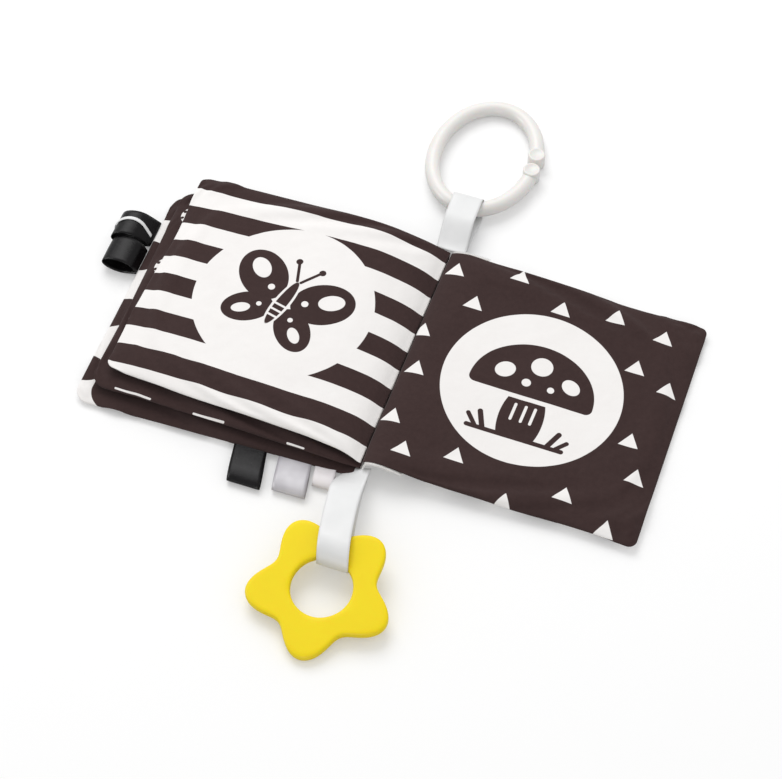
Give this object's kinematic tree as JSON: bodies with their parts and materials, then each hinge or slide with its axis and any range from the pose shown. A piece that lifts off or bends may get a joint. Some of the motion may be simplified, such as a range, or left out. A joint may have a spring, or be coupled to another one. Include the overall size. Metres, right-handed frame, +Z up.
{
  "type": "soft fabric baby book",
  "caption": "Padded cloth book lying open, with thick leaves sewn to one spine, satin tag loops, a clip ring at one end of the spine and a flower teether at the other.",
  "frame": {"origin": "on the ground, under the middle of the outline of the open book with its ring and teether", "axes": "+X across the open pages from the front cover's pile to the back cover, +Y along the spine from the teether to the ring, +Z up from the ground"},
  "size_m": [0.2898, 0.3342, 0.0186],
  "materials": {
    "dark_print": "matt printed cloth",
    "white_cloth": "matt printed cloth",
    "polyester_wadding": "soft fibre filling",
    "black_satin": "satin ribbon",
    "silver_satin": "satin ribbon",
    "white_satin": "satin ribbon",
    "white_thread": "sewing thread",
    "ring_plastic": "smooth moulded plastic",
    "yellow_silicone": "matt silicone"
  },
  "bodies": {
    "back_cover": {"back_cover_upper_face": "dark_print", "back_cover_lower_face": "white_cloth", "back_cover_wadding": "polyester_wadding", "spine_seam": "white_cloth", "front_overlock_thread": "white_thread", "back_overlock_thread": "white_thread"},
    "front_cover": {"front_cover_upper_face": "white_cloth", "front_cover_lower_face": "white_cloth", "front_cover_wadding": "polyester_wadding"},
    "leaf_2": {"leaf_2_upper_face": "dark_print", "leaf_2_lower_face": "dark_print", "leaf_2_wadding": "polyester_wadding"},
    "leaf_3": {"leaf_3_upper_face": "white_cloth", "leaf_3_lower_face": "dark_print", "leaf_3_wadding": "polyester_wadding"},
    "ring_ribbon": {"ring_ribbon": "white_satin"},
    "ring": {"ring": "ring_plastic"},
    "teether_ribbon": {"teether_ribbon": "white_satin"},
    "teether": {"teether": "yellow_silicone"},
    "black_tag": {"black_tag": "black_satin"},
    "silver_tag": {"silver_tag": "silver_satin"},
    "white_tag": {"white_tag": "white_satin"},
    "near_side_tag": {"near_side_tag": "black_satin"},
    "far_side_tag": {"far_side_tag": "black_satin", "white_piping": "white_satin"}
  },
  "joints": [
    {"name": "front_cover_turn", "type": "hinge", "parent": "back_cover", "child": "front_cover", "pos_m": [0.01385, -0.00057, 0.01125], "axis": [0, 1, 0], "range_deg": [-90, 171]},
    {"name": "leaf_2_turn", "type": "hinge", "parent": "front_cover", "child": "leaf_2", "pos_m": [0.01385, -0.00057, 0.01125], "axis": [0, -1, 0], "range_deg": [-171, 0]},
    {"name": "leaf_3_turn", "type": "hinge", "parent": "leaf_2", "child": "leaf_3", "pos_m": [0.01385, -0.00057, 0.01125], "axis": [0, 1, 0], "range_deg": [0, 171]},
    {"name": "ring_ribbon_flap", "type": "hinge", "parent": "back_cover", "child": "ring_ribbon", "pos_m": [0.01385, 0.06683, 0.01125], "axis": [-1, 0, 0], "range_deg": [-60, 60]},
    {"name": "ring_swing", "type": "hinge", "parent": "ring_ribbon", "child": "ring", "pos_m": [0.01145, 0.09483, 0.00604], "axis": [1, 0, 0], "range_deg": [-100, 100]},
    {"name": "teether_ribbon_flap", "type": "hinge", "parent": "back_cover", "child": "teether_ribbon", "pos_m": [0.01385, -0.06797, 0.01125], "axis": [1, 0, 0], "range_deg": [-60, 60]},
    {"name": "teether_swing", "type": "hinge", "parent": "teether_ribbon", "child": "teether", "pos_m": [0.01885, -0.11397, 0.0119], "axis": [-1, 0, 0], "range_deg": [-9, 9]},
    {"name": "black_tag_flap", "type": "hinge", "parent": "front_cover", "child": "black_tag", "pos_m": [-0.03815, -0.06797, 0.0027], "axis": [1, 0, 0], "range_deg": [-70, 70]},
    {"name": "silver_tag_flap", "type": "hinge", "parent": "front_cover", "child": "silver_tag", "pos_m": [-0.01635, -0.06797, 0.0027], "axis": [1, 0, 0], "range_deg": [-70, 70]},
    {"name": "white_tag_flap", "type": "hinge", "parent": "front_cover", "child": "white_tag", "pos_m": [-0.00175, -0.06797, 0.0027], "axis": [1, 0, 0], "range_deg": [-70, 70]},
    {"name": "near_side_tag_flap", "type": "hinge", "parent": "front_cover", "child": "near_side_tag", "pos_m": [-0.12705, 0.01293, 0.0027], "axis": [0, 1, 0], "range_deg": [-60, 45]},
    {"name": "far_side_tag_flap", "type": "hinge", "parent": "front_cover", "child": "far_side_tag", "pos_m": [-0.12705, 0.03093, 0.0027], "axis": [0, 1, 0], "range_deg": [-60, 45]}
  ]
}
